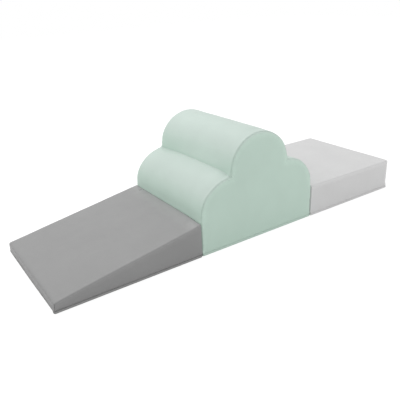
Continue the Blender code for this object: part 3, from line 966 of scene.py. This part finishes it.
def simulateFill(name):
    # cloth under light pressure, held by the foam and drawn in by its seams; gives how far each point moves
    setup = fillSetup
    cage = buildCage(name)
    rest = np.array([v.co for v in cage.data.vertices])
    seams = np.array([v.value for v in cage.data.attributes["seam"].data])
    hold, drawn = [cage.vertex_groups.new(name=group) for group in ("foamHold", "seamDraw")]
    for k, spot in enumerate(rest):
        hold.add([k], 1.0 if spot[2] < coverShape["foot"] + 0.003 else setup["foamHold"], "REPLACE")
        drawn.add([k], float(seams[k]), "REPLACE")
    cloth = cage.modifiers.new("fillCloth", "CLOTH")
    s = cloth.settings
    s.quality, s.mass = setup["quality"], setup["mass"]
    s.tension_stiffness = s.compression_stiffness = setup["stretch"]
    s.shear_stiffness, s.bending_stiffness = setup["shear"], setup["bend"]
    s.use_pressure, s.uniform_pressure_force = True, setup["pressure"]
    s.effector_weights.gravity = 0
    s.vertex_group_mass, s.pin_stiffness = "foamHold", setup["holdStiffness"]
    s.vertex_group_shrink, s.shrink_min, s.shrink_max = "seamDraw", 0.0, setup["seamShrink"]
    cloth.point_cache.frame_start, cloth.point_cache.frame_end = 1, setup["frames"]
    for k in range(1, setup["frames"] + 1):
        scene.frame_set(k)
    shown = cage.evaluated_get(bpy.context.evaluated_depsgraph_get())
    moved = np.array([v.co for v in shown.data.vertices]) - rest
    scene.frame_set(1)
    mesh = cage.data
    bpy.data.objects.remove(cage)
    bpy.data.meshes.remove(mesh)
    size = np.linalg.norm(moved, axis=1)
    print(name, "cover filled, cage points", len(rest), "largest move", size.max())
    moved *= (setup["cap"] * np.tanh(size / setup["cap"]) / np.maximum(size, 1e-9))[:, None]
    return treeOf(rest), moved


def fillMove(name, spots):
    # the cage's movement carried over to the fine cover, none at the foot, the zip and the strips
    total = np.zeros((len(spots), 3))
    if fills[name] is None:
        return total
    tree, moved = fills[name]
    for k, spot in enumerate(spots):
        found = tree.find_n(spot, fillSetup["neighbours"])
        weights = [np.exp(-((far / fillSetup["spread"]) ** 2)) + 1e-9 for _, _, far in found]
        total[k] = sum(w * moved[index] for w, (_, index, _) in zip(weights, found)) / sum(weights)
    x, y, z = spots.T
    share = eased(z, 0.014, 0.045) * (1 - eased(y, 0.26, 0.285) * (1 - eased(z, 0.028, 0.060)))
    total *= share[:, None]
    for swell, plane, _ in endPlanes(blockSizes[name]):
        if swell:
            total[:, 0] *= 1 - 0.92 * bell(x - plane, 0.012)
    return total


def movedCover(name, spots, outs, swell=0.0):
    # every slow and broad movement of the cover, and the swell given for each spot
    x, y, z = spots.T
    loft = blockSizes[name]["farLoft"] * eased(y, 0.0, 0.27) * eased(z, 0.022, 0.045)
    sway = coverShape["sway"] * (wander(spots, 9.0, 4.2) + 0.18 * wander(spots, 38.0, 8.8))
    height = footPull(name, spots) + sway + loft + swell
    outward, aside = squareFoot(name, x, y, z)
    sideways, up = spanned(name, x, y, z)
    along = endSwell(name, x, y, z) + leaned(name, x, y, z) + outward + sideways
    shift = np.column_stack([along, sideFlare(name, x, y, z) + aside, settled(name, x, y, z) + up])
    return spots + outs * height[:, None] + fillMove(name, spots) + shift


def swellGrid(name, grid, outs, runs, reaches, onPanel):
    # adds seams, folds and slow unevenness to a grid of cover points, along its normals
    moved, over = grid.copy(), len(runs)
    for r, row in enumerate(grid):
        swell = np.zeros(len(row))
        fade = eased(row[:over, 2], coverShape["foot"], coverShape["foot"] + 0.012)
        side = 1 if row[0, 1] > 0 else -1
        swell[:over] = seamSwell(name, runs, reaches[r], side) * (0.35 + 0.65 * fade)
        moved[r] = movedCover(name, row, outs[r], swell)
        moved[r, :over, 1] += seamLean(name, abs(reaches[r]), row[:over, 2], side, onPanel)
    return moved


def sewnNormals(rows, ringSets):
    # outward directions of the wrap and both panels, the same on both sides of a seam
    outs, ringOuts = gridNormals(rows), {}
    over = rows.shape[1]
    for side, rings in ringSets.items():
        turned = gridNormals(rings, closed=True) * side
        turned[:, over:] = (0, side, 0)  # along the foot the rings lie in the panel's own plane
        row = 0 if side < 0 else -1
        shared = outs[row] + turned[0, :over]
        outs[row] = turned[0, :over] = shared / np.linalg.norm(shared, axis=1, keepdims=True)
        ringOuts[side] = turned
    return outs, ringOuts


def seamDarkness(name, runs):
    # the seam's shadow comes and goes with the puckers
    broken = 1.3 * eased(wanderAlong(runs, 0.0065, 7.3, 2.1), -0.16, 0.2)
    return seamStrength(name, runs) * seamLooks[name]["shade"] * (broken if name == "cloud" else 1)


def paintedNoseShade(name, spots):
    # painted shade: the ramp's nose and the sides beside it are painted darker
    fromNose = spots[:, 0] - blockSizes[name]["start"]
    face = np.maximum(1 - eased(fromNose, 0.004, 0.016), eased(-spots[:, 1], 0.286, 0.299))
    return blockSizes[name].get("soil", 0.0) * face * bell(fromNose, 0.22)


def jointHighlight(name, spots):
    # painted light: the top of the ramp is painted paler where it meets the cloud, against the shade the
    # cloud casts
    toEnd = blockSizes[name]["start"] + blockSizes[name]["length"] - spots[:, 0]
    paintedHighlight = (1 - eased(toEnd, 0.006, 0.085)) * eased(spots[:, 2], 0.13, 0.15)
    return blockSizes[name].get("climb", 0.0) * paintedHighlight


def sewCover(name, kind, node, points, faces, shade, highlight):
    data = {"paintedShade": shade, "paintedHighlight": highlight}
    cover = makePiece(f"{name}_sewn_{kind}", points, faces, coverCloths[name], data, (dropLoose,))
    shell = cover.modifiers.new("clothThickness", "SOLIDIFY")
    shell.thickness, shell.offset = coverShape["clothThickness"], -1
    dress(cover, name, name + "_cover", f"{name}_{node}")


def buildWrap(name, rows, reaches, outs, runs):
    moved = swellGrid(name, rows, outs, runs, reaches, False)
    # painted shade in the seams and along the foot
    shade = bell(reaches, coverShape["shadeWidth"])[:, None] * seamDarkness(name, runs)
    shade = np.maximum(shade, [footPull(name, row, shade=True) for row in rows])
    # painted shade over the ramp's nose
    shade += [paintedNoseShade(name, row) for row in rows]
    # painted highlight in a band beside each seam
    highlight = np.repeat(bell(np.abs(reaches) - 0.007, 0.006), len(runs))
    # painted light on the ramp's top beside the cloud
    highlight += jointHighlight(name, rows.reshape(-1, 3))
    faces = gridFaces(*moved.shape[:2])
    sewCover(name, "wrap", "wrap_cover", moved.reshape(-1, 3), faces, shade.ravel(), highlight)
    return moved


def buildPanel(name, side, rings, outs, runs):
    over, steps, size = len(runs), panelSteps[name], blockSizes[name]
    columns = rings.shape[1]
    moved = swellGrid(name, rings, outs, runs, steps, True)
    last, total = (len(rings) - 1) * columns, len(rings) * columns
    inner, triangles = fillPanel(name, side, rings[-1], coverShape["fillSpacing"], last, total)
    inner = np.array(inner)
    seamTree = treeOf([(x, 0, z) for x, _, z in rings[0, :over]])
    off = np.array([seamTree.find((x, 0, z))[2] for x, _, z in inner])
    filling = movedCover(name, inner, np.tile((0.0, side, 0.0), (len(inner), 1)))
    filling[:, 1] += seamLean(name, off, inner[:, 2], side, True)
    points = np.concatenate([moved.reshape(-1, 3), filling])

    faces, margin = [], coverShape["zipMargin"]
    for k, face in enumerate(gridFaces(len(rings), columns, closed=True)):
        r, c = divmod(k, columns)
        middle = (rings[r, c, 0] + rings[r, (c + 1) % columns, 0]) / 2 - size["start"]
        atFoot = c >= over - 1 and r < coverShape["openingRing"]
        if side < 0:
            faces.append(face[::-1])
        elif not (atFoot and margin < middle < size["length"] - margin):
            faces.append(face)

    shade, highlight = np.zeros((2, len(points)))
    depth = seamDarkness(name, runs)
    for r, step in enumerate(steps):
        first = r * columns
        shade[first : first + columns] = footPull(name, rings[r], shade=True)
        row = slice(first, first + over)
        # painted shade in the seam
        shade[row] = np.maximum(shade[row], depth * bell(step, coverShape["shadeWidth"]))
        # painted highlight on the panel beside its seam
        highlight[row] = 2.2 * bell(step - 0.008, 0.012)
    kind = sideNames[side] + "_side"
    sewCover(name, kind, kind + "_panel", points, faces + triangles, shade + paintedNoseShade(name, points), highlight)


sideNames = {-1: "near", 1: "far"}

bindingShape = {
    "low": 0.0004,
    "high": 0.0099,
    "proud": {"ramp": 0.0042, "cloud": 0.0012, "platform": 0.0032},
    "ends": {"ramp": (0.35, 0.6), "cloud": (0.2, 0.9), "platform": (0.6, 0.9)},  # share of that at each end
    "tuck": 0.006,  # how far the binding reaches in under the cover
    "corner": 0.006,
    "cornerTurns": 6,
    "sway": 0.0003,
    "ripples": (55.0, 26.0),  # waves per metre, sideways and up
    "noseShade": 0.36,  # painted shade: how dark it is painted across the ramp's nose
    # degrees round its fold
    "turns": (88, 76, 64, 52, 42, 34, 29, 24, 16, 6, -6, -20, -35, -50, -65, -80),
    "stitchTurn": 29,
    "stitchDent": 0.0003,
    # painted shade on the binding's lower half
    "lowShade": {"ramp": 0.35, "cloud": 0.35, "platform": 0.30},
    "lowerEdge": 0.0018,
}


def bindingOutline(name, out):
    # a rounded rectangle round the block's foot, out from its sides, from the near left corner on
    size, shape = blockSizes[name], bindingShape
    left, right = [-out * share if out > 0 else -out for share in shape["ends"][name]]
    half, right = coverShape["halfWidth"] + out, size["length"] - right
    radius = max(0.0008, shape["corner"] + out)
    lowX, highX, lowY, highY = left + radius, right - radius, radius - half, half - radius
    corners = ((lowX, lowY), (highX, lowY), (highX, highY), (lowX, highY))
    starts = pi, 1.5 * pi, 0, pi / 2
    turns = shape["cornerTurns"]
    arcs = [turnedArc(corner, radius, start, start + pi / 2, turns) for corner, start in zip(corners, starts)]
    longCount, endCount = round(size["length"] / 0.006), 100
    line, outs = [], []
    for k, (ring, count) in enumerate(zip(arcs, (longCount, endCount) * 2)):
        shares = np.linspace(0, 1, count + 1)[1:-1, None]
        line += [ring, ring[-1] + shares * (arcs[(k + 1) % 4][0] - ring[-1])]
        outs.append(turnedArc((0, 0), 1, starts[k], starts[k] + pi / 2, turns))
        outs.append(np.repeat(outs[-1][-1:], len(shares), axis=0))
    return np.concatenate(line) + (size["start"], 0), np.concatenate(outs)


def outlineAt(name, out, z):
    # the outline at a height, following the cover's sides
    line, outs = bindingOutline(name, out)
    spots = np.column_stack([line, np.full(len(line), z)])
    spots[:, 0] += leaned(name, *spots.T)
    spots[:, 1] += sideFlare(name, *spots.T)
    return spots, outs, line


def bindingProfile(name):
    # out, height and painted shade round the folded strip, from its inner top edge to its inner lower one
    shape = bindingShape
    low, high, tuck = shape["low"], shape["high"], -shape["tuck"]
    middle, half = (low + high) / 2, (high - low) / 2
    rows = [(tuck, high - 0.0006, 1.0), (-0.002, high - 0.0001, 1.0)]
    for turn in shape["turns"]:
        a, dent = radians(turn), shape["stitchDent"] if turn == shape["stitchTurn"] else 0.0
        # painted shade on the lower half and the inner top of the fold
        shade = shape["lowShade"][name] * float(eased(-turn, -12, 45)) + 0.2 * float(eased(turn, 60, 88))
        out = (shape["proud"][name] - dent) * cos(a) ** 0.8 + 0.0002
        rows.append((out, middle + (half - dent) * sin(a), shade))
    return rows + [(0.0002, shape["lowerEdge"], 1.0), (tuck, shape["lowerEdge"], 1.0)]


def buildBinding(name):
    shape, profile = bindingShape, bindingProfile(name)
    sway, proud = shape["sway"], shape["proud"][name]
    rows, shades = [], []
    for out, z, shade in profile:
        spots, outs, line = outlineAt(name, out, z)
        if out > 0:
            ripple = wander(spots * (1, 1, 0), shape["ripples"][0], 2.2) * sway * out / proud
            spots[:, :2] += outs * (ripple[:, None] - sway * 0.5)
            lift = wander(spots * (1, 1, 0), shape["ripples"][1], 6.1) * sway * 0.8
            spots[:, 2] += lift * (z > 0.003)
        rows.append(spots)
        # painted shade across the ramp's nose
        atNose = bell(line[:, 0] - blockSizes[name]["start"], 0.007) * (name == "ramp" and out > -0.003)
        shades.append(shade * (1 - 0.8 * atNose) + shape["noseShade"] * atNose)
    grid = np.array(rows)
    count = grid.shape[1]
    last = (len(rows) - 1) * count
    faces = gridFaces(len(rows), count, closed=True)
    faces += [(last + c, last + (c + 1) % count, (c + 1) % count, c) for c in range(count)]
    # the outermost fold is painted paler, a painted highlight
    highlight = np.repeat([1.0 if out > 0.8 * proud else 0.0 for out, _, _ in profile], count)
    data = {"paintedShade": np.concatenate(shades), "paintedHighlight": highlight}
    points = grid.reshape(-1, 3)
    binding = makePiece(name + "_folded_binding", points, faces, bindingCloths[name], data, (turnOut,))
    dress(binding, name, name + "_cover", name + "_base_binding")

    sewn = grid[shape["turns"].index(shape["stitchTurn"]) + 2]
    turn = radians(shape["stitchTurn"])
    outs = np.column_stack([bindingOutline(name, proud)[1] * cos(turn), np.full(count, sin(turn))])
    line, outs = np.vstack([sewn, sewn[:1]]), np.vstack([outs, outs[:1]])
    sewThread(name + "_binding_thread", name, name + "_cover", "binding", line, outs, lift=0.0001)


baseShape = {
    # out and height of the non-slip panel's edge, which is turned up into the binding
    "edge": (
        (-0.012, 0.0), (-0.004, 0.0), (-0.0012, 0.0001), (0.0, 0.0006),
        (0.0, 0.0011), (-0.001, 0.0015), (-0.012, 0.0015),
    ),
    "flatAngle": radians(50),
}


def buildBase(name):
    grid = np.array([outlineAt(name, out, z)[0] for out, z in baseShape["edge"]])
    faces = tubeFaces(*grid.shape[:2])
    base = makePiece(name + "_non_slip_base", grid.reshape(-1, 3), faces, nonSlip, None, (turnOut,))
    crease = base.modifiers.new("flatUnderside", "EDGE_SPLIT")
    crease.split_angle = baseShape["flatAngle"]
    dress(base, name, "non_slip_base", name + "_base_panel")


foamShape = {
    "inset": 0.0021,
    "bottom": 0.0021,
    "slack": 0.0008,  # room between the foam and the cover
    "seamRoom": 1.3,  # room beside a seam, times the depth of its puckers
    "footCut": 0.0035,  # the foam's lower edge is cut back behind the binding
    "edgeTurns": 5,
    "middleRows": 14,
}


def buildFoam(name):
    # the foam core inside the covers, which follows them at a small distance
    shape, size = foamShape, blockSizes[name]
    inset, edge, turn = shape["inset"], size["edge"], size["turn"]
    bend = edge - inset
    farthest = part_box(name + "_foam_core")[1].y
    # inset, depth and distance from the seam of the rows round an edge and beside it on the panel
    turns = [pi / 2 * k / shape["edgeTurns"] for k in range(shape["edgeTurns"] + 1)]
    edgeRows = [(inset + bend * (1 - cos(a)), bend * sin(a), (a - turn) * edge) for a in turns]
    edgeRows += [(edge + more, bend, (pi / 2 - turn) * edge + more) for more in (0.008, 0.020)]
    rows, reaches = [], []
    for side in (-1, 1):
        for rowInset, out, reach in edgeRows[::side]:
            depth = min(edgeDepth(name, side, out), farthest)
            rows.append(sliceAt(name, rowInset, depth, shape["bottom"]))
            reaches.append(reach)
        if side < 0:
            for share in np.linspace(-0.95, 0.95, shape["middleRows"]):
                rows.append(sliceAt(name, inset, share * edgeDepth(name, 1), shape["bottom"]))
                reaches.append(-coverShape["halfWidth"])
    grid = np.array(rows)[:, ::2]
    outs = gridNormals(grid)
    for r, row in enumerate(grid):
        room = shape["seamRoom"] * seamLooks[name]["pucker"] * bell(reaches[r], 0.012)
        cut = -shape["slack"] - room - shape["footCut"] * (1 - eased(row[:, 2], 0.008, 0.022))
        grid[r] = movedCover(name, row, outs[r], cut)
        grid[r, :, 1] += seamLean(name, abs(reaches[r]), row[:, 2], np.sign(row[0, 1]), reaches[r] > 0)
    grid[:, :, 1] = np.minimum(grid[:, :, 1], farthest)
    faces = tubeFaces(*grid.shape[:2])
    core = makePiece(name + "_cut_foam", grid.reshape(-1, 3), faces, foam, None, (turnOut,))
    dress(core, name, "foam", name + "_foam_core")


fills = {name: simulateFill(name) for name in blockSizes}
for name, size in blockSizes.items():
    rows, reaches = wrapGrid(name, wrapSteps)
    ringSets = {side: panelRings(name, side, panelSteps[name]) for side in (-1, 1)}
    runs = runOf(blockPath(name, 0.0, coverShape["foot"])[:, :2])
    size["valleyRuns"] = [runs[k] for k in size.get("valleys", ())]
    outs, ringOuts = sewnNormals(rows, ringSets)
    moved = buildWrap(name, rows, reaches, outs, runs)
    for side, row in ((-1, 0), (1, -1)):
        buildPanel(name, side, ringSets[side], ringOuts[side], runs)
        thread, lift = f"{name}_{sideNames[side]}_seam_thread", seamLooks[name]["lift"]
        sewThread(thread, name, name + "_cover", "seam", moved[row], outs[row], lift, side)
    buildBinding(name)
    buildBase(name)
    buildFoam(name)
    print(name, "covers sewn")

zipShape = {
    "pitch": 0.0018,
    "toothRound": 0.00052,
    "toothSides": 6,
    "overlap": 0.00022,  # how far the teeth reach past the middle line
    "tapeSway": 0.0001,
    "tapeColumn": 0.008,
    "tapeRows": 6,
    "metalEdge": 0.00018,
    "hemRise": 0.0028,  # how far the hem's stitches lie above the opening
    "hemReach": 0.006,
}


def buildTape(name, level):
    node, sway = f"{name}_zip_{level}_tape", zipShape["tapeSway"]
    low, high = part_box(node)
    xs = np.linspace(low.x, high.x, round((high.x - low.x) / zipShape["tapeColumn"]))
    zs = np.linspace(low.z, high.z, zipShape["tapeRows"])
    spots = [(x, z) for z in zs for x in xs]
    points = [(x, high.y - sway + sway * noise.noise(Vector((x * 40, z * 90, 3.0))), z) for x, z in spots]
    points += [(x, low.y, z) for x, z in spots]
    faces = slabFaces(len(zs), len(xs))
    tape = makePiece(f"{name}_woven_{level}_tape", points, faces, zipTape, None, (turnOut,), 40)
    dress(tape, name, "zip_tape", node)


def buildTeeth(name, level):
    # nylon coil teeth that reach past the middle line and mesh with the other tape's
    node = f"{name}_zip_{level}_coil"
    low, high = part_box(node)
    pitch, tooth, sides = zipShape["pitch"], zipShape["toothRound"], zipShape["toothSides"]
    middle = (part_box(name + "_zip_upper_coil")[0].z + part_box(name + "_zip_lower_coil")[1].z) / 2
    up, root, shift = (1, high.z, 0.0) if level == "upper" else (-1, low.z, pitch / 2)
    tip = middle - up * zipShape["overlap"]
    depth, half = (low.y + high.y) / 2, (high.y - low.y) / 2
    profile = (
        (root, 0.55), (root - up * 0.0004, 0.9), ((root + tip) / 2, 1.0),
        (tip + up * 0.0008, 1.15), (tip + up * 0.0002, 1.05), (tip, 0.5),
    )
    points, faces = [], []
    angles = [2 * pi * k / sides for k in range(sides)]
    for x in np.arange(low.x + pitch * 0.4 + shift, high.x - pitch * 0.3, pitch):
        around = tubeFaces(len(profile), sides, len(points))
        faces += [face[::-1] for face in around] if up > 0 else around
        for height, share in profile:
            deep = half * 0.96 * min(share, 1.0)
            points += [(x + tooth * share * cos(a), depth + deep * sin(a), height) for a in angles]
    dress(makePiece(f"{name}_{level}_teeth", points, faces, zipNylon), name, "zip_coil", node)


def polishMetal(name):
    # the stops, slider and pull keep their CAD shapes, with softened edges
    for part in ("zip_open_stop", "zip_closed_stop", "zip_slider", "zip_pull"):
        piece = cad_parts[f"{name}_{part}"]
        piece.data.materials.clear()
        piece.data.materials.append(zipMetal)
        soft = piece.modifiers.new("softEdges", "BEVEL")
        soft.width, soft.segments = zipShape["metalEdge"], 2
        soft.limit_method, soft.angle_limit = "ANGLE", radians(40)


def buildOpeningStitches(name):
    size, reach = blockSizes[name], coverShape["zipMargin"] - zipShape["hemReach"]
    z = coverShape["foot"] + panelSteps[name][coverShape["openingRing"]] + zipShape["hemRise"]
    xs = np.linspace(size["start"] + reach, size["start"] + size["length"] - reach, 160)
    line = np.column_stack([xs, np.full(len(xs), coverShape["halfWidth"]), np.full(len(xs), z)])
    outs = np.repeat([(0.0, 1.0, 0.0)], len(xs), axis=0)
    line = movedCover(name, line, outs, 0.0003)
    sewThread(name + "_zip_hem_thread", name, name + "_cover", "binding", line, outs)


for name in blockSizes:
    for level in ("upper", "lower"):
        buildTape(name, level)
        buildTeeth(name, level)
    polishMetal(name)
    buildOpeningStitches(name)
print("zips in place")

stripNodes = {
    "ramp_loop_strip": ("ramp", "loopPile", 1),
    "cloud_hook_strip_ramp_end": ("cloud", "hookField", -1),
    "cloud_hook_strip_platform_end": ("cloud", "hookField", 1),
    "platform_loop_strip": ("platform", "loopPile", -1),
}
stripShape = {
    "columns": 190,
    "rows": 22,
    "selvedge": 0.0035,
    "selvedgeRise": 0.42,  # shares of the strip's thickness
    "pileRise": 0.40,
    "pileRough": 0.17,
    "pileScale": 420,
    "pileSeed": {"loopPile": 1.5, "hookField": 7.7},
    "border": 0.0022,
    "borderRise": 0.66,
    "borderSteps": 59,
}


def buildStrip(node, body, kind, outward):
    # a woven strip with a selvedge round a field of pile, sewn on along its border
    shape = stripShape
    low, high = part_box(node)
    back, tall = low.x if outward > 0 else high.x, high.x - low.x
    ys, zs = np.linspace(low.y, high.y, shape["columns"]), np.linspace(low.z, high.z, shape["rows"])
    points = []
    for z in zs:
        for y in ys:
            rim = min(y - low.y, high.y - y, z - low.z, high.z - z)
            spot = Vector((y * shape["pileScale"], z * shape["pileScale"], shape["pileSeed"][kind]))
            pile = shape["pileRise"] + shape["pileRough"] * noise.noise(spot)
            rise = shape["selvedgeRise"] + pile * eased(rim, 0.0, shape["selvedge"])
            points.append((back + outward * tall * rise, y, z))
    points += [(back, y, z) for z in zs for y in ys]
    faces = slabFaces(len(zs), len(ys))
    strip = makePiece(node.replace("_strip", "_tape"), points, faces, gripFields[kind], None, (turnOut,), 60)
    dress(strip, body, "hook_and_loop", node)

    border, depth = shape["border"], back + outward * tall * shape["borderRise"]
    left, right, lower, upper = low.y + border, high.y - border, low.z + border, high.z - border
    corners = np.array([(left, lower), (right, lower), (right, upper), (left, upper), (left, lower)])
    steps = shape["borderSteps"]
    sides = [a + (b - a) * k / steps for a, b in zip(corners, corners[1:]) for k in range(steps)]
    line = [(depth, *spot) for spot in sides]
    sewThread(node + "_thread", body, "hook_and_loop", "strip", line, [(outward, 0, 0)] * len(line))


for node, setup in stripNodes.items():
    buildStrip(node, *setup)
print("hook and loop strips sewn on")
